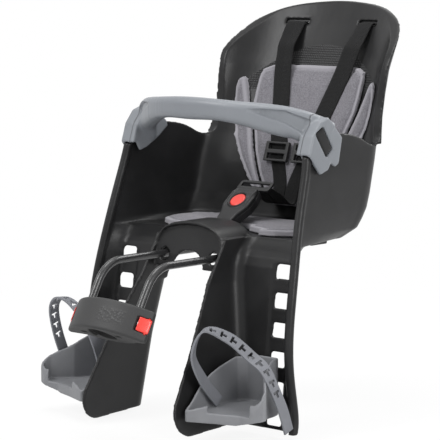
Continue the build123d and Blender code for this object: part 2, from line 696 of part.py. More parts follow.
def arm_room():
    """Slot for the arm's wall through the end of the safety bar, right side."""
    outline = ((180, 150), (180, 199), (193, 199), (201, 225), (202, 229.5), (214, 238.5), (230, 234),
               (242, 226), (270, 226), (280, 150))
    return slab_x(outline, ARM_SLOT_IN, ARM_SLOT_OUT)


def safety_bar():
    right = HOOP_LINE
    line = [(-x, *rest) for x, *rest in reversed(right[1:])] + list(right)
    sections = []
    for i, (x, y, z, depth, height) in enumerate(line):
        before, after = line[max(i - 1, 0)], line[min(i + 1, len(line) - 1)]
        run = Vector(after[0] - before[0], after[1] - before[1], after[2] - before[2]).normalized()
        plane = Plane((x, y, z), x_dir=run.cross(Vector(0, 0, 1)), z_dir=run)
        sections.append(plane * RectangleRounded(depth, height, depth * 0.42))
    hoop = loft(sections)
    cheek = slab_x(CHEEK, ARM_SLOT_IN + 4, CHEEK_OUT)
    flap = slab_x(FLAP, CHEEK_IN, ARM_SLOT_IN + 5)
    nose = slab_x(NOSE, CHEEK_IN, CHEEK_OUT - 2)
    end = fillet(cheek.faces().sort_by(Axis.X)[-1].edges(), 2) + flap + nose
    window = slab_x(WINDOW, ARM_SLOT_OUT - 1, CHEEK_OUT + 1)
    top = (RIM_LINE[0][0] + 2, *rim_at(RIM_LINE[0][0]))
    rim = loft([Pos(x, y, z) * Circle(RIM_R + SEAT_GAP) for z, x, y in (top, *RIM_LINE[:4])])
    return hoop + both_sides(end) - both_sides(arm_room() + window + rim)


# Footrests, right side
def tray_outline(inset_by):
    """Plan of the footrest: straight inside, splayed front and round outer end."""
    rear = calf(TRAY_TOP - TRAY_LIP) - SLIDE_GAP
    front = FilletPolyline((TRAY_IN + 11, rear), (TRAY_IN, rear - 11), *TRAY_PLAN, (TRAY_CORNER, rear),
                           close=True, radius=3.5)
    return offset(make_face(front), -inset_by) if inset_by else make_face(front)


def tray_cut(x0, x1, line):
    """Room above a wall's top edge."""
    end = line[-1]
    edge = Polyline((0, TRAY_TOP), line[0])
    close = Polyline(end, (200, end[1]), (200, 0), (0, 0), (0, TRAY_TOP))
    return extrude(Plane.YZ.offset(x0) * make_face([edge, Spline(*line), close]), x1 - x0)


def footrest():
    """Moulded cup: floor with a skirt, inner fin, outer wall and back wall against the calf wall."""
    low, high = TRAY_TOP - TRAY_LIP, TRAY_WALL_TOP
    cup = Pos(0, 0, low) * extrude(tray_outline(0), high - low)
    cup -= Pos(0, 0, TRAY_TOP) * extrude(tray_outline(TRAY_T), high - low)
    cup -= Pos(0, 0, low - 1) * extrude(tray_outline(TRAY_T), TRAY_LIP - TRAY_T + 1)
    cup -= tray_cut(0, TRAY_FIN, FIN_LINE)
    cup -= tray_cut(TRAY_FIN, TRAY_END, LIP_LINE)
    cup -= tray_cut(TRAY_END, REACH, WALL_LINE)
    end = TRAY_PLAN[4][0] + 1
    under = Polyline((TRAY_RISE_X, low - 1), (end, low - 1), (end, TRAY_TOP - TRAY_T), close=True)
    return cup - seen_from_front(under)


# Foot straps
def foot_strap(stations):
    rows = smooth([(*point, *across) for point, across in stations], 4)
    return ribbon([(row[:3], row[3:]) for row in rows], FOOT_STRAP_W, FOOT_STRAP_T, ruled=True)


# Support bar
def bar_path():
    """Both legs, the level runs and the closed rear of the bar."""
    x = BAR_SPACING / 2
    low = LEG * BAR_SEAT
    bend = LEG * (BAR_HEIGHT / LEG.Z)
    points = [(x, low.Y, low.Z), (x, bend.Y, bend.Z), (x, BAR_REAR, BAR_HEIGHT)]
    points += [(-px, py, pz) for px, py, pz in reversed(points)]
    return FilletPolyline(*points, radius=[BAR_BEND, BAR_REAR_BEND, BAR_REAR_BEND, BAR_BEND])


def support_bar():
    path = bar_path()
    return sweep(Plane(path @ 0, z_dir=path % 0) * Circle(BAR_D / 2), path)


def bar_clamp_plate():
    """Steel plate that presses the bar up into the saddles."""
    top = BAR_HEIGHT - BAR_D / 2 - RUN_GAP
    y0, y1 = SADDLE_FRONT[0], SADDLE_REAR[1]
    plate = box(-SADDLE_HALF, SADDLE_HALF, y0, y1, top - CLAMP_PLATE_T, top)
    plate = fillet(plate.edges().filter_by(Axis.Z), 6)
    for x, y in clamp_screw_places():
        plate -= Pos(x, y, top) * Cylinder(CLAMP_SCREW_D / 2 + RUN_GAP, 4 * CLAMP_PLATE_T)
    return plate


def bar_clamp_screws():
    bottom = BAR_HEIGHT - BAR_D / 2 - RUN_GAP - CLAMP_PLATE_T
    head = CLAMP_SCREW_D * 0.6
    length = CLAMP_SCREW_TIP - 2 - bottom
    screw = Pos(0, 0, bottom + length / 2) * Cylinder(CLAMP_SCREW_D / 2, length)
    screw += Pos(0, 0, bottom - head / 2) * Cylinder(CLAMP_SCREW_D, head)
    screw -= Pos(0, 0, bottom - head) * Box(CLAMP_SCREW_D * 1.5, 1, head)
    return Part() + [Pos(x, y, 0) * screw for x, y in clamp_screw_places()]


# Mounting block, drawn along the head tube: local y points rearwards and local z up the tube
BLOCK = Plane((0, 0, 0), x_dir=(1, 0, 0), z_dir=LEG)


def block_plan(grow=0.0):
    """Plan of the front half: a bow with a flat parting face."""
    half = BLOCK_W / 2 + grow
    bow = ThreePointArc((-half, BLOCK_SHOULDER), (0, -BLOCK_NOSE - grow), (half, BLOCK_SHOULDER))
    rear = Polyline((half, BLOCK_SHOULDER), (half - 1, BLOCK_SPLIT), (1 - half, BLOCK_SPLIT),
                    (-half, BLOCK_SHOULDER))
    return make_face([bow, rear])


def button_shape(gap, inner):
    """Right release button or its pocket: the corner of the bow, with a flange behind."""
    face = box(inner, BLOCK_W, -BLOCK_W, FLANGE_REAR + gap, -BUTTON_H / 2 - gap, BUTTON_H / 2 + gap)
    tall = FLANGE_H / 2 + gap
    return face + box(inner, FLANGE_END + gap, FLANGE_FRONT - gap, FLANGE_REAR + gap, -tall, tall)


def block_front():
    """Front half: bowed housing with two blind sockets for the bar, half the bore and the button pockets."""
    body = Pos(0, 0, -BLOCK_H / 2) * extrude(block_plan(), BLOCK_H)
    ends = body.edges().group_by(Axis.Z)
    body = fillet(ends[0] + ends[-1], 3)
    body -= Cylinder(TUBE_R + LINER_T + RUN_GAP, 2 * BLOCK_H)
    for x in (-BAR_SPACING / 2, BAR_SPACING / 2):
        depth = BLOCK_H / 2 - BAR_SEAT + SEAT_GAP
        body -= Pos(x, 0, BAR_SEAT - SEAT_GAP + depth / 2 + 5) * Cylinder(BAR_D / 2 + RUN_GAP, depth + 10)
    for x in (-CLAMP_BOLT_X, CLAMP_BOLT_X):
        body -= Pos(x, 0, 0) * Rot(90, 0, 0) * Cylinder(CLAMP_BOLT_D / 2 + BOLT_PLAY, 2 * (BLOCK_SPLIT + 10))
        pocket = Box(NUT_FLATS + 2 * BOLT_PLAY, NUT_T + 2 * BOLT_PLAY, BLOCK_H / 2 + NUT_FLATS + 2)
        body -= Pos(x, NUT_AT + NUT_T / 2, -BLOCK_H / 4) * pocket
    return BLOCK * (body - both_sides(button_shape(SLIDE_GAP, BUTTON_INNER - BUTTON_PRESS - SLIDE_GAP)))


def block_rear():
    """Rear half of the clamp: a saddle behind the head tube."""
    half = BLOCK_REAR_W / 2
    front = BLOCK_SPLIT + CLAMP_GAP
    plan = make_face([Polyline((-half, front), (half, front), (half, front + 10)),
                      ThreePointArc((half, front + 10), (0, BLOCK_REAR), (-half, front + 10)),
                      Line((-half, front + 10), (-half, front))])
    body = Pos(0, 0, -BLOCK_H / 2 + 3) * extrude(plan, BLOCK_H - 6)
    ends = body.edges().group_by(Axis.Z)
    body = fillet(ends[0] + ends[-1], 2)
    body -= Cylinder(TUBE_R + LINER_T + RUN_GAP, 2 * BLOCK_H)
    for x in (-CLAMP_BOLT_X, CLAMP_BOLT_X):
        body -= Pos(x, 0, 0) * Rot(90, 0, 0) * Cylinder(CLAMP_BOLT_D / 2 + BOLT_PLAY, 4 * BLOCK_REAR)
        body -= Pos(x, BOLT_SEAT + 20, 0) * Rot(90, 0, 0) * Cylinder(CLAMP_BOLT_D + 0.5, 40)
    return BLOCK * body


def liner(rear):
    """Rubber half sleeve between the clamp and the tube."""
    sleeve = Cylinder(TUBE_R + LINER_T, BLOCK_H - 6) - Cylinder(TUBE_R, 2 * BLOCK_H)
    edge = BLOCK_SPLIT + CLAMP_GAP / 2 + (0.2 if rear else -0.2)
    keep = box(-50, 50, edge, 60, -50, 50) if rear else box(-50, 50, -60, edge, -50, 50)
    return BLOCK * (sleeve & keep)


def block_bolts():
    length = BOLT_SEAT - NUT_AT
    bolt = Pos(0, BOLT_SEAT - length / 2, 0) * Rot(90, 0, 0) * Cylinder(CLAMP_BOLT_D / 2, length)
    head = Pos(0, 0.1 + CLAMP_BOLT_D / 2, 0) * Rot(90, 0, 0) * Cylinder(CLAMP_BOLT_D * 0.85, CLAMP_BOLT_D)
    socket = extrude(RegularPolygon(CLAMP_BOLT_D * 0.48, 6), 3, both=True)
    head -= Pos(0, CLAMP_BOLT_D, 0) * Rot(90, 0, 0) * socket
    head = Pos(0, BOLT_SEAT, 0) * head
    bolt += Pos(0, BOLT_SEAT, 0) * Rot(90, 0, 0) * Cylinder(CLAMP_BOLT_D / 2, 2) + head
    return BLOCK * (Part() + [Pos(x, 0, 0) * bolt for x in (-CLAMP_BOLT_X, CLAMP_BOLT_X)])


def block_nuts():
    nut = extrude(RegularPolygon(NUT_FLATS / 2, 6, major_radius=False, rotation=30), NUT_T)
    nut -= Cylinder(CLAMP_BOLT_D / 2 + 0.05, 4 * NUT_T)
    nut = Pos(0, NUT_AT + NUT_T, 0) * Rot(90, 0, 0) * nut
    return BLOCK * (Part() + [Pos(x, 0, 0) * nut for x in (-CLAMP_BOLT_X, CLAMP_BOLT_X)])


def release_button():
    """Right release button, which stands a little proud of the bow."""
    shape = Pos(0, 0, -BLOCK_H / 2) * extrude(block_plan(BUTTON_PROUD), BLOCK_H)
    return BLOCK * (button_shape(0, BUTTON_INNER) & shape)


def button_spring():
    """Spring between the right button and the end of its pocket."""
    length = BUTTON_PRESS + SLIDE_GAP - 0.2
    return BLOCK * Pos(BUTTON_INNER - length - 0.1, -3, 0) * Rot(0, 90, 0) * coil(3.5, length, 1.6)


def left_of(make):
    """Left-hand twin of a right-hand piece."""
    return lambda: mirror(make(), about=Plane.YZ)


PARTS = {
    "seat_shell": seat_shell,
    "back_pad": back_pad,
    "side_pad_left": left_of(side_pad),
    "side_pad_right": side_pad,
    "seat_pad": seat_pad,
    "safety_bar": safety_bar,
    "shoulder_strap_left": lambda: shoulder_strap(-1, -STRAP_LOW),
    "shoulder_strap_right": lambda: shoulder_strap(1, STRAP_LOW),
    "strap_stop_left": lambda: strap_stop(-1),
    "strap_stop_right": lambda: strap_stop(1),
    "strap_adjuster_left": lambda: strap_adjuster(-1),
    "strap_adjuster_right": lambda: strap_adjuster(1),
    "crotch_strap": crotch_strap,
    "buckle_body": buckle_body,
    "buckle_cover": buckle_cover,
    "buckle_button": buckle_button,
    "buckle_spring": buckle_spring,
    "buckle_tongue": buckle_tongue,
    "footrest_left": left_of(footrest),
    "footrest_right": footrest,
    "foot_strap_left": lambda: foot_strap(FOOT_STRAP_LEFT),
    "foot_strap_right": lambda: foot_strap(FOOT_STRAP_RIGHT),
    "support_bar": support_bar,
    "bar_clamp_plate": bar_clamp_plate,
    "bar_clamp_screws": bar_clamp_screws,
    "block_front": block_front,
    "block_rear": block_rear,
    "liner_front": lambda: liner(False),
    "liner_rear": lambda: liner(True),
    "block_bolts": block_bolts,
    "block_nuts": block_nuts,
    "release_button_left": left_of(release_button),
    "release_button_right": release_button,
    "button_spring_left": left_of(button_spring),
    "button_spring_right": button_spring,
}

if __name__ == "__main__":
    os.makedirs("parts", exist_ok=True)
    for name, make in PARTS.items():
        solid = make()
        print(name, len(solid.solids()), round(solid.volume))
        export_step(solid, f"parts/{name}.step")
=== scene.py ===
from math import cos, pi, radians, sin

import bmesh
import bpy
import numpy as np
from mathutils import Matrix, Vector


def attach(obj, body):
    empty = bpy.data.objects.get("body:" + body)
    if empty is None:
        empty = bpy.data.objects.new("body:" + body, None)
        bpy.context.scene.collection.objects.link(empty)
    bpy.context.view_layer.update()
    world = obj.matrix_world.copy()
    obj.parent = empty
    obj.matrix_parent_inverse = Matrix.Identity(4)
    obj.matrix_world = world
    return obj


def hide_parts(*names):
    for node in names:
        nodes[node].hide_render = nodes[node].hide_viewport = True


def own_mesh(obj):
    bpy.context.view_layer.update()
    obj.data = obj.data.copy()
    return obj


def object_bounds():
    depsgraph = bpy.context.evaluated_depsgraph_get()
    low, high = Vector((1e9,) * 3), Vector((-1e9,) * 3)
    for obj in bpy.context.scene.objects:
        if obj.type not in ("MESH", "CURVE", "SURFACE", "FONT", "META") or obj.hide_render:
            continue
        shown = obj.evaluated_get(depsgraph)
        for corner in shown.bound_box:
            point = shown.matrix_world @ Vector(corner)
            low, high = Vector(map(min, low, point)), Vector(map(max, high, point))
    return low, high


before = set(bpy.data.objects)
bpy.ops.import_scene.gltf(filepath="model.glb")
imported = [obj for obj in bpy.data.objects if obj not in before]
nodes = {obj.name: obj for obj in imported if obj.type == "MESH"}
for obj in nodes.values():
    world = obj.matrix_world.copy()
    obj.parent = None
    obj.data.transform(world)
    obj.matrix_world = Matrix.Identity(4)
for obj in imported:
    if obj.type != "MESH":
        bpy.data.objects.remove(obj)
cad_low, cad_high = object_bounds()
scene = bpy.context.scene

# Studio: a long lens looks at the seat from its right front, a little above the pan.
# Four soft boxes light it over a white floor, and the white surroundings show in what is glossy.
scene.view_settings.view_transform = "Standard"
aim = Vector((0.0, 0.205, 0.107))
turn = radians(42.0)
rise = radians(6.87)
camera_distance = 2.896
camera_lens = 182.3
camera_sensor = 36.0
to_camera = Vector((sin(turn) * cos(rise), -cos(turn) * cos(rise), sin(rise)))
camera = bpy.data.objects.new("camera", bpy.data.cameras.new("camera"))
camera.data.lens = camera_lens
camera.data.sensor_width = camera_sensor
camera.location = aim + to_camera * camera_distance
camera.rotation_mode = "QUATERNION"
camera.rotation_quaternion = (-to_camera).to_track_quat("-Z", "Y")
scene.collection.objects.link(camera)
scene.camera = camera


class Socket:
    """Output of a shader node. Sums on it add Math nodes to its tree."""

    def __init__(self, finish, output):
        self.finish = finish
        self.output = output

    def math(self, operation, *values):
        return self.finish.node("ShaderNodeMath", {"operation": operation}, dict(enumerate(values)))

    def __add__(self, other):
        return self.math("ADD", self, other)

    def __radd__(self, other):
        return self.math("ADD", other, self)

    def __sub__(self, other):
        return self.math("SUBTRACT", self, other)

    def __rsub__(self, other):
        return self.math("SUBTRACT", other, self)

    def __mul__(self, other):
        return self.math("MULTIPLY", self, other)

    def __rmul__(self, other):
        return self.math("MULTIPLY", other, self)

    def __abs__(self):
        return self.math("ABSOLUTE", self)

    def wave(self, pitch):
        """Sine along this value, from -1 to 1."""
        return self.math("SINE", self * (2 * pi / pitch))

    def between(self, start, stop):
        """Smooth rise from 0 at start to 1 at stop."""
        return self.finish.node("ShaderNodeMapRange", {"interpolation_type": "SMOOTHSTEP"},
                                {"Value": self, "From Min": start, "From Max": stop})


class Finish:
    """Node material of one surface, or the world's, put together piece by piece."""

    def __init__(self, name, world=False):
        self.material = (bpy.data.worlds if world else bpy.data.materials).new(name)
        self.material.use_nodes = True
        self.tree = self.material.node_tree
        self.tree.nodes.clear()

    def node(self, kind, settings=None, sockets=None, out=0):
        made = self.tree.nodes.new(kind)
        for name, value in (settings or {}).items():
            setattr(made, name, value)
        for name, value in (sockets or {}).items():
            target = made.inputs[name]
            if isinstance(value, Socket):
                self.tree.links.new(value.output, target)
            elif target.type == "RGBA":
                target.default_value = (*value, 1.0)
            else:
                target.default_value = value
        return Socket(self, made.outputs[out]) if len(made.outputs) else None

    def place(self):
        """Point on the surface in the frame of the part, in metres."""
        return self.node("ShaderNodeTexCoord", out="Object")

    def axes(self):
        """The three coordinates of that point."""
        point = self.place()
        return [self.node("ShaderNodeSeparateXYZ", {}, {0: point}, axis) for axis in "XYZ"]

    def noise(self, size, detail=2.0):
        """Cloudy noise with patches of a size in metres."""
        return self.node("ShaderNodeTexNoise", {},
                         {"Vector": self.place(), "Scale": 1 / size, "Detail": detail})

    def mix(self, share, first, second):
        """Colour between two others."""
        return self.node("ShaderNodeMix", {"data_type": "RGBA"}, {0: share, 6: first, 7: second}, 2)

    def bump(self, height, depth):
        """Normal of a surface that stands out by height times depth metres."""
        return self.node("ShaderNodeBump", {}, {"Height": height, "Distance": depth})

    def surface(self, **sockets):
        named = {name.replace("_", " "): value for name, value in sockets.items()}
        shader = self.node("ShaderNodeBsdfPrincipled", {}, named)
        self.node("ShaderNodeOutputMaterial", {}, {"Surface": shader})
        return self.material


def seen_directly(finish):
    """1 for rays that should find the white background: from the camera, or by a mirror or glass."""
    rays = [finish.node("ShaderNodeLightPath", out=kind)
            for kind in ("Is Camera Ray", "Is Glossy Ray", "Is Transmission Ray")]
    return rays[0].math("MAXIMUM", rays[0], rays[1].math("MAXIMUM", rays[1], rays[2]))


floor_mesh = bpy.data.meshes.new("floor")
floor_reach = 14.0
floor_gap = 0.004
floor_level = cad_low.z - floor_gap
floor_corners = [(x * floor_reach, y * floor_reach, floor_level)
                 for x, y in ((-1, -1), (1, -1), (1, 1), (-1, 1))]
floor_mesh.from_pydata(floor_corners, [], [(0, 1, 2, 3)])
floor = bpy.data.objects.new("floor", floor_mesh)
scene.collection.objects.link(floor)
paper = Finish("floor_paper")
paper_lit = paper.node("ShaderNodeBsdfDiffuse", {}, {"Color": (0.85, 0.85, 0.85)})
paper_white = paper.node("ShaderNodeEmission", {}, {"Color": (1.0, 1.0, 1.0), "Strength": 1.0})
paper_x, paper_y = paper.axes()[:2]
paper_away = paper_x * paper_x + (paper_y - aim.y) * (paper_y - aim.y)
near_share = 0.90
paper_share = seen_directly(paper) * (near_share + paper_away.between(0.06, 1.2) * (1.0 - near_share))
paper.node("ShaderNodeOutputMaterial", {}, {
    "Surface": paper.node("ShaderNodeMixShader", {}, {0: paper_share, 1: paper_lit, 2: paper_white})})
floor.data.materials.append(paper.material)

ambient = 0.36
sky = Finish("studio", world=True)
scene.world = sky.material
sky_strength = ambient + seen_directly(sky) * (1.0 - ambient)
sky_white = sky.node("ShaderNodeBackground", {}, {"Color": (1.0, 1.0, 1.0), "Strength": sky_strength})
sky.node("ShaderNodeOutputWorld", {}, {"Surface": sky_white})

for lamp_name, lamp_place, lamp_size, lamp_watts in (
        ("key", (-0.9, -2.0, 2.3), 1.2, 56.0),
        ("side", (2.6, -0.6, 1.0), 1.2, 36.0),
        ("top", (-0.2, 0.1, 2.7), 1.4, 34.0),
        ("rear", (0.4, 2.2, 1.9), 1.6, 46.0)):
    lamp = bpy.data.objects.new(lamp_name, bpy.data.lights.new(lamp_name, "AREA"))
    lamp.data.size = lamp_size
    lamp.data.energy = lamp_watts
    lamp.location = lamp_place
    lamp.rotation_mode = "QUATERNION"
    lamp.rotation_quaternion = (aim - lamp.location).to_track_quat("-Z", "Y")
    scene.collection.objects.link(lamp)


# Bucket shell: one injection moulding in black polypropylene with a fine spark grain.
# Its edges are drawn over a small radius, and a knurled band lies above the back pad; the band and its bumps
# are painted lighter as a highlight.
def settle(piece):
    """Applies a piece's modifiers and shades it smooth."""
    graph = bpy.context.evaluated_depsgraph_get()
    graph.update()
    mesh = bpy.data.meshes.new_from_object(piece.evaluated_get(graph))
    piece.modifiers.clear()
    piece.data = mesh
    mesh.shade_smooth()


def points_of(mesh):
    """Vertices of a mesh as an array."""
    flat = np.empty(len(mesh.vertices) * 3, np.float32)
    mesh.vertices.foreach_get("co", flat)
    return flat.reshape(-1, 3).astype(float)


def move_points(mesh, points):
    mesh.vertices.foreach_set("co", points.astype(np.float32).ravel())
    mesh.update()


def add_easing(piece, rounds, group=""):
    """Adds a smoothing pass, all over or where a vertex group weighs."""
    ease = piece.modifiers.new("ease", "SMOOTH")
    ease.factor = 0.5
    ease.iterations = rounds
    ease.vertex_group = group


def round_off(piece, voxel, rounds):
    """Turns a solid's mesh into even cells and eases its edges."""
    skin = piece.modifiers.new("skin", "REMESH")
    skin.mode = "VOXEL"
    skin.voxel_size = voxel
    add_easing(piece, rounds)
    settle(piece)


def thinned(piece, limit):
    """Brings a mesh down to a number of triangles."""
    count = sum(len(face.vertices) - 2 for face in piece.data.polygons)
    if count > limit:
        thin = piece.modifiers.new("thin", "DECIMATE")
        thin.ratio = limit / count
        settle(piece)


def moulded(name, node, voxel, rounds, limit, softer=None, sculpt=None):
    """Copy of a solid with the soft edges that a moulding has.
    Softer weighs the points that are drawn over a larger radius, and sculpt moves points."""
    soft_rounds = 45
    piece = bpy.data.objects.new(name, nodes[node].data.copy())
    scene.collection.objects.link(piece)
    piece.data.materials.clear()
    round_off(piece, voxel, rounds)
    if softer:
        weights = np.round(softer(points_of(piece.data)), 1)
        group = piece.vertex_groups.new(name="softer")
        for weight in np.unique(weights[weights > 0]):
            group.add(np.flatnonzero(weights == weight).tolist(), float(weight), "REPLACE")
        add_easing(piece, soft_rounds, "softer")
        settle(piece)
    if sculpt:
        move_points(piece.data, sculpt(points_of(piece.data)))
    thinned(piece, limit)
    return piece


def fit(piece, body, finish, node):
    """Puts a finished piece on its body, with its finish, in the place of a CAD node."""
    piece.data.materials.clear()
    piece.data.materials.append(finish.material)
    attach(piece, body)
    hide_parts(node)


shell_plastic = Finish("shell_plastic")
shell_x, shell_y, shell_z = shell_plastic.axes()
shell_cloud = shell_plastic.noise(0.05, 3.0)
shell_grain = shell_plastic.noise(0.0011)
knurl_pitch = 0.0062
knurl_top = 0.329 - shell_x * shell_x * 4.0
knurl_zone = (knurl_top - shell_z).between(0.0, 0.003) * shell_z.between(0.262, 0.272)
shell_normal = shell_plastic.node("ShaderNodeTexCoord", out="Normal")
shell_front = 0.0 - shell_plastic.node("ShaderNodeSeparateXYZ", {}, {0: shell_normal}, "Y")
knurl_zone = knurl_zone * shell_y.between(0.350, 0.356) * shell_front.between(0.1, 0.4)
knurl = (shell_x + shell_z).wave(knurl_pitch) * (shell_x - shell_z).wave(knurl_pitch) * knurl_zone
shell_tone = shell_plastic.mix(shell_cloud.between(0.35, 0.65),
                               (0.0145, 0.0145, 0.0150), (0.0190, 0.0190, 0.0196))
# Painted highlight: the knurled band, and its bumps most, are painted lighter where light would catch them.
shell_tone = shell_plastic.mix(knurl * 0.5 + 0.4 * knurl_zone, shell_tone, (0.040, 0.040, 0.041))
shell_plastic.surface(
    Base_Color=shell_tone,
    Roughness=0.25 + shell_grain * 0.08 + shell_cloud * 0.08,
    Specular_IOR_Level=0.20,
    Normal=shell_plastic.bump(shell_grain * 0.10 + knurl * 0.5, 0.0009))


def thigh_weight(points):
    """Where the pan turns down into the leg channels, which is drawn over a large radius."""
    x, y, z = np.abs(points[:, 0]), points[:, 1], points[:, 2]
    weight = np.clip((x - 0.116) / 0.010, 0, 1) * np.clip((0.153 - x) / 0.004, 0, 1)
    weight *= np.clip((0.222 - y) / 0.015, 0, 1)
    return weight * np.clip((z - 0.074) / 0.012, 0, 1) * np.clip((0.122 - z) / 0.010, 0, 1)


shell = moulded("seat_shell_moulding", "seat_shell", voxel=0.0017, rounds=5, limit=190000,
                softer=thigh_weight)
fit(shell, "seat", shell_plastic, "seat_shell")

# Pads: heather grey cloth bonded over foam, with a pressed border round the edge that is painted lighter as a
# highlight.
# They are swollen as cloth over their solids, and the rear faces stay on the shell.
back_outline = [(74, 301), (88, 295), (92, 284), (92, 258), (90, 240), (81, 213), (72, 185), (57, 152),
                (40, 126), (20, 113)]
back_outline = [(x / 1000, z / 1000) for x, z in back_outline]
back_outline += [(-x, z) for x, z in reversed(back_outline)]
side_outline = [(107, 279.5), (111, 284), (115, 283.5), (119.5, 278), (122.5, 268), (123, 258), (121.5, 240),
                (118, 222), (106, 195), (93.5, 172), (82, 156), (64, 132), (60, 126), (42.5, 126),
                (59.5, 152), (74.5, 185), (83.5, 213), (94, 240), (100.5, 260), (104, 271)]
side_outline = [(x / 1000, z / 1000) for x, z in side_outline]
seat_outline = [(66, 202), (90, 205), (117, 222), (129, 250), (126, 286), (100, 303)]
seat_notch = [(-66, 212), (-30, 226), (-26, 236), (26, 236), (30, 226), (66, 212)]
seat_outline = [(x / 1000, y / 1000) for x, y in (
    *seat_outline, *[(-x, y) for x, y in reversed(seat_outline)], *seat_notch)]

pad_cloth = Finish("pad_cloth")
pad_border_highlight = pad_cloth.node("ShaderNodeAttribute", {"attribute_name": "border"}, out="Fac")
pad_fibre = pad_cloth.noise(0.0016, 4.0)
pad_patch = pad_cloth.noise(0.014, 3.0)
pad_tone = pad_cloth.mix(pad_fibre.between(0.30, 0.72), (0.112, 0.109, 0.121), (0.208, 0.201, 0.222))
pad_tone = pad_cloth.mix(pad_patch.between(0.35, 0.75) * 0.40, pad_tone, (0.186, 0.180, 0.200))
# Painted highlight: the pad's rolled border is painted lighter, as light catches it.
pad_tone = pad_cloth.mix(pad_border_highlight * 0.75, pad_tone, (0.310, 0.302, 0.328))
pad_cloth.surface(
    Base_Color=pad_tone,
    Roughness=0.95 - pad_fibre * 0.1,
    Specular_IOR_Level=0.15,
    Sheen_Weight=0.25,
    Sheen_Roughness=0.5,
    Normal=pad_cloth.bump(pad_fibre, 0.0002))


def outline_depth(points, outline):
    """Distance of flat points from the nearest edge of a closed outline."""
    nearest = np.full(len(points), np.inf)
    corners = np.array(outline)
    for start, stop in zip(corners, np.roll(corners, -1, axis=0)):
        run = stop - start
        share = np.clip(((points - start) @ run) / (run @ run), 0.0, 1.0)
        nearest = np.minimum(nearest, np.linalg.norm(points - start - share[:, None] * run, axis=1))
    return nearest


def normals_of(mesh):
    """Normals of a mesh's vertices as an array."""
    flat = np.empty(len(mesh.vertices) * 3, np.float32)
    mesh.vertex_normals.foreach_get("vector", flat)
    return flat.reshape(-1, 3).astype(float)


def sewn_pad(name, node, outline, flat_axes, held_axis, held_sign):
    """Foam pad swollen from its solid, with a stitched border and a painted highlight along it. Its rear face
    stays where it lies.
    """
    voxel, draw_in, swell_cap = 0.0022, 0.0012, 0.0024
    border, groove, groove_width = 0.0065, 0.0014, 0.0016
    pressure, swell_steps, rear_facing = 4.0, 20, 0.35
    pad = bpy.data.objects.new(name, nodes[node].data.copy())
    scene.collection.objects.link(pad)
    round_off(pad, voxel, rounds=16)
    start = points_of(pad.data)
    normals = normals_of(pad.data)
    held = normals[:, held_axis] * held_sign > rear_facing
    start[~held] -= normals[~held] * draw_in
    move_points(pad.data, start)
    group = pad.vertex_groups.new(name="held")
    group.add([int(i) for i in np.flatnonzero(held)], 1.0, "REPLACE")
    cloth = pad.modifiers.new("cloth", "CLOTH")
    cloth.settings.use_pressure = True
    cloth.settings.uniform_pressure_force = pressure
    cloth.settings.effector_weights.gravity = 0.0
    cloth.settings.vertex_group_mass = "held"
    cloth.settings.quality = 5
    for step in range(1, swell_steps + 1):
        scene.frame_set(step)
    graph = bpy.context.evaluated_depsgraph_get()
    swollen = bpy.data.meshes.new_from_object(pad.evaluated_get(graph))
    pad.modifiers.clear()
    swell = points_of(swollen) - start
    length = np.linalg.norm(swell, axis=1)
    swell *= np.minimum(1.0, swell_cap / np.maximum(length, 1e-9))[:, None]
    swell[held] = 0.0
    move_points(pad.data, start + swell)
    scene.frame_set(1)
    fine = pad.modifiers.new("fine", "SUBSURF")
    fine.levels = 1
    fine.render_levels = 1
    settle(pad)
    done = points_of(pad.data)
    normals = normals_of(pad.data)
    depth = outline_depth(done[:, flat_axes], outline)
    front = normals[:, held_axis] * held_sign < 0.0
    seam = np.exp(-((depth - border) / groove_width) ** 2) * front
    done -= normals * (seam * groove)[:, None]
    move_points(pad.data, done)
    # The border attribute masks the painted highlight along the rolled edge.
    rim_highlight_layer = pad.data.attributes.new("border", "FLOAT", "POINT")
    rim_highlight_share = np.clip((border + 0.001 - depth) / 0.002, 0.0, 1.0)
    rim_highlight_layer.data.foreach_set("value", rim_highlight_share.astype(np.float32))
    fit(pad, "seat", pad_cloth, node)


sewn_pad("seat_cushion", "seat_pad", seat_outline, [0, 1], 2, -1)
sewn_pad("back_cushion", "back_pad", back_outline, [0, 2], 1, 1)
sewn_pad("side_cushion_right", "side_pad_right", side_outline, [0, 2], 1, 1)
sewn_pad("side_cushion_left", "side_pad_left", [(-x, z) for x, z in side_outline], [0, 2], 1, 1)

# Harness: black polyester webbing, woven flat, sewn behind the backrest and threaded through its slots.
# It runs over the back pad and through the sliders to the tongue of the buckle.
webbing = Finish("webbing")
weave_map = webbing.node("ShaderNodeUVMap", {"uv_map": "weave"})
weave_along = webbing.node("ShaderNodeSeparateXYZ", {}, {0: weave_map}, "X")
weave_across = webbing.node("ShaderNodeSeparateXYZ", {}, {0: weave_map}, "Y")
weave = (weave_along + abs(weave_across) * 0.6).wave(0.0019) * weave_across.wave(0.0024)
web_fluff = webbing.noise(0.0009, 3.0)
webbing.surface(
    Base_Color=webbing.mix(weave * 0.5 + 0.5, (0.0035, 0.0035, 0.0037), (0.0095, 0.0095, 0.0100)),
    Roughness=0.72 + web_fluff * 0.2,
    Specular_IOR_Level=0.18,
    Sheen_Weight=0.05,
    Normal=webbing.bump(weave + web_fluff * 0.6, 0.00035))


def flowing(rows, steps):
    """Smooth curve through rows of numbers."""
    rows = np.array(rows, float)
    line = np.vstack([2 * rows[0] - rows[1], rows, 2 * rows[-1] - rows[-2]])
    fine = []
    for a, b, c, d in zip(line, line[1:], line[2:], line[3:]):
        for t in np.arange(steps) / steps:
            fine.append(b + (c - a) * t / 2 + (2 * a - 5 * b + 4 * c - d) * t ** 2 / 2
                        + (3 * b - a - 3 * c + d) * t ** 3 / 2)
    return np.array(fine + [rows[-1]])


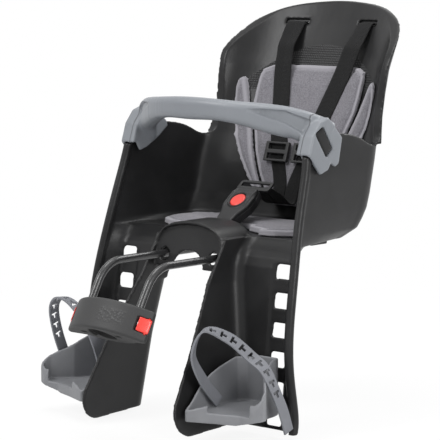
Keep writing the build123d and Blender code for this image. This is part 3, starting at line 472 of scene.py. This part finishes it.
def laid_strip(name, stations, thick, columns, step, holes=()):
    """Flat strip bent along stations of a point and a width direction, in millimetres.
    Columns divide it across its width, and holes are cut out of it lengthwise and crosswise."""
    rows = flowing([(*point, *across) for point, across in stations], 10)
    path = rows[:, :3] / 1000
    along = np.concatenate([[0.0], np.cumsum(np.linalg.norm(np.diff(path, axis=0), axis=1))])
    run = np.gradient(path, along, axis=0)
    run /= np.linalg.norm(run, axis=1)[:, None]
    across = rows[:, 3:] - run * np.sum(rows[:, 3:] * run, axis=1)[:, None]
    across /= np.linalg.norm(across, axis=1)[:, None]
    outward = np.cross(run, across)
    marks = set(np.linspace(0.0, along[-1], int(along[-1] / step) + 2))
    for hole in holes:
        marks.update((hole[0], hole[1]))
    marks = sorted(marks)
    form = bmesh.new()
    grid = [[form.verts.new((s, v, 0.0)) for v in columns] for s in marks]
    for i, (low, high) in enumerate(zip(grid, grid[1:])):
        for j in range(len(columns) - 1):
            s = (marks[i] + marks[i + 1]) / 2
            v = (columns[j] + columns[j + 1]) / 2
            if not any(s0 < s < s1 and v0 < v < v1 for s0, s1, v0, v1 in holes):
                form.faces.new((low[j], high[j], high[j + 1], low[j + 1]))
    for vert in [v for v in form.verts if not v.link_faces]:
        form.verts.remove(vert)
    bmesh.ops.recalc_face_normals(form, faces=form.faces)
    bmesh.ops.solidify(form, geom=list(form.faces), thickness=thick)
    sheet = form.loops.layers.uv.new("weave")
    for face in form.faces:
        for loop in face.loops:
            loop[sheet].uv = (loop.vert.co.x, loop.vert.co.y)
    mesh = bpy.data.meshes.new(name)
    form.to_mesh(mesh)
    form.free()
    flat = points_of(mesh)
    flat[:, 2] -= (flat[:, 2].max() + flat[:, 2].min()) / 2
    bent = np.zeros_like(flat)
    for axis in range(3):
        bent[:, axis] = (np.interp(flat[:, 0], along, path[:, axis])
                         + np.interp(flat[:, 0], along, across[:, axis]) * flat[:, 1]
                         + np.interp(flat[:, 0], along, outward[:, axis]) * flat[:, 2])
    move_points(mesh, bent)
    piece = bpy.data.objects.new(name, mesh)
    scene.collection.objects.link(piece)
    soften = piece.modifiers.new("soften", "BEVEL")
    soften.width = thick * 0.3
    soften.segments = 2
    soften.angle_limit = radians(60)
    settle(piece)
    return piece


def columns_of(width, count):
    """Even division of a strip's width."""
    return np.linspace(-width / 2, width / 2, count + 1)


web_thick = 0.0016
shoulder_width = 0.028
lap_width = 0.022
level = (1, 0, 0)
slot_line = (0.983, -0.185, 0)
shoulder_run = [
    ((62.5, 441.8, 354.3), slot_line), ((61.3, 435.4, 357.3), slot_line),
    ((60.6, 431.6, 358.2), slot_line), ((60.0, 424.3, 350.0), slot_line),
    ((59.2, 415.9, 339.0), (0.99, -0.1, 0)),
    ((58, 405.4, 326), level), ((56.2, 400.6, 314.3), level), ((54.4, 395.7, 302.7), level),
    ((52, 390.8, 290), level), ((48.6, 385.4, 276.3), level), ((44.5, 379.6, 261.5), level),
    ((40, 372.8, 245), level), ((35, 365.2, 225.9), level), ((29.5, 357.6, 204.9), level),
    ((24, 350.7, 184), level), ((23.2, 347.7, 174), level)]
lap_run = [
    ((24, 352.4, 188), level), ((24, 348.2, 176), level), ((17, 343.7, 158), level),
    ((11.6, 338.3, 140), level), ((11.6, 332.4, 124), level), ((11.6, 327.0, 118.6), level),
    ((11.6, 316.4, 122), level), ((11.6, 303, 132.2), level), ((11.6, 280, 144.1), level)]


def mirrored(stations):
    """The same stations on the other side of the seat."""
    return [((-point[0], *point[1:]), (across[0], -across[1], -across[2])) for point, across in stations]


def joined(name, pieces):
    """One object out of several meshes."""
    form = bmesh.new()
    for piece in pieces:
        form.from_mesh(piece.data)
        bpy.data.objects.remove(piece)
    mesh = bpy.data.meshes.new(name)
    form.to_mesh(mesh)
    form.free()
    mesh.shade_smooth()
    made = bpy.data.objects.new(name, mesh)
    scene.collection.objects.link(made)
    return made


for side, turn_over in (("right", list), ("left", mirrored)):
    upper = laid_strip("upper", turn_over(shoulder_run), web_thick, columns_of(shoulder_width, 8), step=0.004)
    lower = laid_strip("lower", turn_over(lap_run), web_thick, columns_of(lap_width, 6), step=0.003)
    harness = joined(f"shoulder_webbing_{side}", [upper, lower])
    fit(harness, "seat", webbing, f"shoulder_strap_{side}")

crotch_run = [((0, 211, 84), level), ((0, 211, 92), level), ((0, 211.6, 96), level),
              ((0, 214.3, 100.2), level)]
crotch = laid_strip("crotch_webbing", crotch_run, web_thick, columns_of(lap_width, 6), step=0.002)
fit(crotch, "seat", webbing, "crotch_strap")

# Buckle and sliders: black nylon mouldings with a satin face and polished edges.
# The round red button stands in a raised ring on the cover.
buckle_plastic = Finish("buckle_plastic")
buckle_grain = buckle_plastic.noise(0.0008)
buckle_plastic.surface(
    Base_Color=buckle_plastic.mix(buckle_plastic.noise(0.02),
                                  (0.010, 0.010, 0.0105), (0.017, 0.017, 0.018)),
    Roughness=0.40 + buckle_grain * 0.12,
    Specular_IOR_Level=0.35,
    Normal=buckle_plastic.bump(buckle_grain, 0.00012))


def buckle_relief(points):
    """Raised ring round the button, a rail along each side and a step down to the mouth."""
    tilt = radians(37.7)
    foot = np.array((0.0, 0.210, 0.107))
    button_at, ring_radius, rail_at, mouth_at = 0.038, 0.0130, 0.0178, 0.053
    face = np.array((0.0, -sin(tilt), cos(tilt)))
    length = np.array((0.0, cos(tilt), sin(tilt)))
    local = points - foot
    across, along, up = local[:, 0], local @ length, local @ face
    ring = np.exp(-((np.hypot(across, along - button_at) - ring_radius) / 0.0011) ** 2) * 0.0020
    rail = np.exp(-((np.abs(across) - rail_at) / 0.0014) ** 2) * 0.0018
    rail *= np.clip((along - 0.026) / 0.006, 0, 1)
    mouth = np.clip((along - mouth_at) / 0.003, 0, 1) * 0.0012
    lift = (ring + rail - mouth) * np.clip((up + 0.003) / 0.002, 0, 1)
    return points + lift[:, None] * face


for node, relief in (("buckle_body", None), ("buckle_cover", buckle_relief), ("buckle_tongue", None),
                     ("strap_stop_left", None), ("strap_stop_right", None),
                     ("strap_adjuster_left", None), ("strap_adjuster_right", None)):
    piece = moulded(f"{node}_moulding", node, voxel=0.0006, rounds=3, limit=24000, sculpt=relief)
    fit(piece, "seat", buckle_plastic, node)

red_plastic = Finish("red_plastic")
red_cloud = red_plastic.noise(0.006)
red_plastic.surface(
    Base_Color=red_plastic.mix(red_cloud, (0.72, 0.036, 0.024), (0.84, 0.052, 0.036)),
    Roughness=0.26 + red_plastic.noise(0.0012) * 0.1,
    Coat_Weight=0.2,
    Normal=red_plastic.bump(red_plastic.noise(0.0009), 0.0001))
button = moulded("buckle_button_moulding", "buckle_button", voxel=0.0005, rounds=3, limit=12000)
fit(button, "buckle_press", red_plastic, "buckle_button")

# Safety bar: a hollow hoop in grey plastic that clips over the arms of the shell.
# A hollowed panel runs down each outer flank, and the clip ends are caps with a fine joint line.
bar_plastic = Finish("bar_plastic")
bar_x = bar_plastic.axes()[0]
bar_cloud = bar_plastic.noise(0.06, 2.0)
bar_grain = bar_plastic.noise(0.0009)
joint_at = 0.1480
joint_line = 1.0 - abs(abs(bar_x) - joint_at).between(0.0003, 0.0010)
bar_tone = bar_plastic.mix(bar_cloud, (0.170, 0.182, 0.200), (0.200, 0.212, 0.230))
bar_plastic.surface(
    Base_Color=bar_plastic.mix(joint_line * 0.75, bar_tone, (0.06, 0.063, 0.07)),
    Roughness=0.36 + bar_grain * 0.12,
    Specular_IOR_Level=0.45,
    Normal=bar_plastic.bump(bar_grain * 0.15 - joint_line, 0.0005))


def faired(points):
    """Draws the edges of the hoop as even curves from clip to clip."""
    fair = points.copy()
    x = np.abs(points[:, 0])
    clip_start, cells = 0.140, 56
    stops = np.linspace(0.0, clip_start, cells + 1)
    mids = (stops[1:] + stops[:-1]) / 2
    cell = np.digitize(x, stops) - 1
    weight = np.clip((0.138 - x) / 0.020, 0, 1)
    for axis in (1, 2):
        low = np.array([points[cell == i, axis].min() for i in range(len(mids))])
        high = np.array([points[cell == i, axis].max() for i in range(len(mids))])
        low_shift = np.polyval(np.polyfit(mids ** 2, low, 4), mids ** 2) - low
        high_shift = np.polyval(np.polyfit(mids ** 2, high, 4), mids ** 2) - high
        share = (points[:, axis] - np.interp(x, mids, low)) / np.interp(x, mids, high - low)
        shift = np.interp(x, mids, low_shift) * (1 - share) + np.interp(x, mids, high_shift) * share
        fair[:, axis] += weight * shift
    return fair


def bar_relief(points):
    """Hollow panel down the upper outer flank of each half of the hoop, wider towards the clips."""
    line = np.array(((0, 150, 256, 27), (50, 157, 254.5, 27), (75, 167, 251, 30), (100, 183, 245.5, 37),
                     (125, 202, 240, 38), (146, 224, 226, 46), (156, 234, 219, 44))) / 1000
    panel_depth = 0.0042
    points = faired(points)
    x = np.abs(points[:, 0])
    slope = np.interp(x, line[:, 0], np.gradient(line[:, 1], line[:, 0]))
    middle_y, middle_z, height = (np.interp(x, line[:, 0], line[:, i]) for i in (1, 2, 3))
    out = np.stack([np.sign(points[:, 0]) * slope, -np.ones_like(x), np.zeros_like(x)], axis=1)
    out /= np.linalg.norm(out, axis=1)[:, None]
    proud = (middle_y - points[:, 1]) / np.sqrt(1 + slope ** 2)
    tier = (points[:, 2] - middle_z) / (height / 2)
    low = np.interp(x, (0.088, 0.105, 0.125, 0.150), (0.40, 0.20, 0.0, -0.05))
    high = np.interp(x, (0.088, 0.105, 0.125, 0.150), (0.60, 0.74, 0.86, 0.90))
    panel = np.clip((tier - low) / 0.08, 0, 1) * np.clip((high - tier) / 0.08, 0, 1)
    panel *= np.clip((x - 0.084) / 0.016, 0, 1) * np.clip((0.150 - x) / 0.006, 0, 1) * (proud > 0)
    return points - out * (panel * panel_depth)[:, None]


def clip_weight(points):
    """The ends of the bar, which flow into the clips."""
    return np.clip((np.abs(points[:, 0]) - 0.118) / 0.012, 0, 1) * 0.3


safety_bar = moulded("safety_bar_moulding", "safety_bar", voxel=0.0012, rounds=5, limit=130000,
                     softer=clip_weight, sculpt=bar_relief)
fit(safety_bar, "seat", bar_plastic, "safety_bar")

# Footrests: grey plastic cups that hang on the calf walls of the shell.
# Each has a deep lip in front, and its strap is a soft strip with a row of peg holes.
footrest_plastic = Finish("footrest_plastic")
foot_grain = footrest_plastic.noise(0.001)
footrest_plastic.surface(
    Base_Color=footrest_plastic.mix(footrest_plastic.noise(0.03, 3.0),
                                    (0.150, 0.154, 0.165), (0.215, 0.219, 0.231)),
    Roughness=0.42 + foot_grain * 0.14,
    Specular_IOR_Level=0.4,
    Normal=footrest_plastic.bump(foot_grain, 0.0002))

strap_rubber = Finish("strap_rubber")
rubber_grain = strap_rubber.noise(0.0012)
strap_rubber.surface(
    Base_Color=strap_rubber.mix(strap_rubber.noise(0.02, 3.0),
                                (0.150, 0.155, 0.172), (0.195, 0.200, 0.218)),
    Roughness=0.50 + rubber_grain * 0.15,
    Specular_IOR_Level=0.35,
    Normal=strap_rubber.bump(rubber_grain, 0.0002))

foot_strap_thick = 0.0025
foot_runs = {
    "right": [((100, 92, -102.6), (0, 1, 0.2)), ((97, 66, -72), (-0.2, 1, 0.4)),
              ((96, 49, -38), (-0.5, 1, 0.1)), ((106, 58, -8), (-0.5, 1, 0.15)),
              ((128, 80, -18), (-0.1, 1, 0.6)), ((152, 95, -41), (0.1, 1, 0.6)),
              ((170, 98, -54), (0, 1, 0.5)), ((180, 103, -76), (0, 1, 0.4)),
              ((184, 116, -106), (0, 1, 0.4)), ((184, 127, -134), (0, 1, 0.3))],
    "left": [((-100, 92, -106.4), (0, 1, 0.2)), ((-103, 86, -66), (0, 1, 0.2)),
             ((-116, 78, -28), (0, 1, 0.1)), ((-138, 72, -2), (0, 1, 0)), ((-160, 70, 4), (0, 1, -0.1)),
             ((-176, 74, -12), (0, 1, 0)), ((-182, 87, -48), (0, 1, 0.1)),
             ((-185, 108, -92), (0, 1, 0.2)), ((-185, 120, -122), (0, 1, 0.2))]}
peg_pitch = 0.0145
peg_count = 10
hole_length, stem_start, stem_stop = 0.0032, 0.0030, 0.0085
strap_half, edge_half, hole_half, stem_half = 0.008, 0.0065, 0.0050, 0.0018
peg_columns = [-strap_half, -edge_half, -hole_half, -stem_half, stem_half, hole_half, edge_half, strap_half]
for side, first_hole in (("right", 0.105), ("left", 0.070)):
    pegs = []
    for i in range(peg_count):
        s = first_hole + i * peg_pitch
        pegs.append((s, s + hole_length, -hole_half, hole_half))
        pegs.append((s + stem_start, s + stem_stop, -stem_half, stem_half))
    foot_strap = laid_strip(f"foot_strap_{side}_strip", foot_runs[side], foot_strap_thick, peg_columns,
                            step=0.004, holes=pegs)
    fit(foot_strap, f"footrest_{side}", strap_rubber, f"foot_strap_{side}")
    cup = moulded(f"footrest_{side}_moulding", f"footrest_{side}", voxel=0.0011, rounds=7, limit=48000)
    fit(cup, f"footrest_{side}", footrest_plastic, f"footrest_{side}")

# Support bar: bent round steel with a black powder coat, pressed up into the saddles by a plate.
# Four zinc-plated screws hold the plate.
powder_coat = Finish("powder_coat")
coat_peel = powder_coat.noise(0.0016, 2.0)
powder_coat.surface(
    Base_Color=powder_coat.mix(powder_coat.noise(0.03), (0.016, 0.016, 0.0165), (0.024, 0.024, 0.025)),
    Roughness=0.24 + coat_peel * 0.12,
    Specular_IOR_Level=0.45,
    Coat_Weight=0.2,
    Normal=powder_coat.bump(coat_peel, 0.00025))
plated_steel = Finish("plated_steel")
plate_streak = plated_steel.noise(0.0015, 3.0)
plated_steel.surface(
    Base_Color=plated_steel.mix(plate_streak, (0.42, 0.42, 0.43), (0.58, 0.58, 0.59)),
    Metallic=1.0,
    Roughness=0.28 + plate_streak * 0.2,
    Normal=plated_steel.bump(plate_streak, 0.00008))


def finish_node(node, finish):
    """Gives a CAD node its finish."""
    nodes[node].data.materials.clear()
    nodes[node].data.materials.append(finish.material)


for node in ("support_bar", "bar_clamp_plate"):
    finish_node(node, powder_coat)
for node in ("bar_clamp_screws", "block_bolts", "block_nuts"):
    finish_node(node, plated_steel)

# Mounting block: a bowed housing in grained black plastic, bolted round the head tube over liners.
# A stippled thumb patch lies on its front, and a red release button stands in each end.
block_plastic = Finish("block_plastic")
block_x, block_y, block_z = block_plastic.axes()
block_grain = block_plastic.noise(0.0013)
block_tilt = radians(30.0)
block_up = block_y * sin(block_tilt) + block_z * cos(block_tilt)
stipple_scale = 330.0
stipple = block_plastic.node("ShaderNodeTexVoronoi", {},
                             {"Vector": block_plastic.place(), "Scale": stipple_scale})
patch = abs(block_x - 0.022).between(0.022, 0.012) * abs(block_up).between(0.011, 0.006)
block_plastic.surface(
    Base_Color=block_plastic.mix(patch * (1.0 - stipple.between(0.0, 0.6)),
                                 (0.026, 0.026, 0.0265), (0.075, 0.075, 0.076)),
    Roughness=0.50 + block_grain * 0.14,
    Specular_IOR_Level=0.4,
    Normal=block_plastic.bump(block_grain * 0.3 + patch * (1.0 - stipple), 0.0007))
for node in ("block_front", "block_rear"):
    housing = moulded(f"{node}_moulding", node, voxel=0.0009, rounds=3, limit=48000)
    fit(housing, "mount_block", block_plastic, node)
for side in ("left", "right"):
    node = f"release_button_{side}"
    button = moulded(f"{node}_moulding", node, voxel=0.0005, rounds=60, limit=12000)
    fit(button, f"release_{side}", red_plastic, node)

liner_rubber = Finish("liner_rubber")
liner_grain = liner_rubber.noise(0.0014)
liner_rubber.surface(
    Base_Color=liner_rubber.mix(liner_grain, (0.010, 0.010, 0.010), (0.018, 0.018, 0.018)),
    Roughness=0.75 + liner_grain * 0.15,
    Normal=liner_rubber.bump(liner_grain, 0.0003))
for node in ("liner_front", "liner_rear"):
    finish_node(node, liner_rubber)

# Springs: coils of plain wire behind the buckle's button and behind both release buttons.
# Each stands on the floor of its bore.
button_travel = 0.003
coil_limit = 8000
for node, body, joint, press in (
        ("buckle_spring", "seat", "buckle_press", (0.0, 0.6115, -0.7912)),
        ("button_spring_left", "mount_block", "release_left", (1.0, 0.0, 0.0)),
        ("button_spring_right", "mount_block", "release_right", (-1.0, 0.0, 0.0))):
    coil = bpy.data.objects.new(f"{node}_coil", nodes[node].data.copy())
    scene.collection.objects.link(coil)
    thinned(coil, coil_limit)
    fit(coil, body, plated_steel, node)
    wire = points_of(coil.data)
    inward = wire @ np.array(press)
    pressed_share = 1.0 - button_travel / (inward.max() - inward.min())
    wire[inward.argmax()].tolist()
    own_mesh(coil)
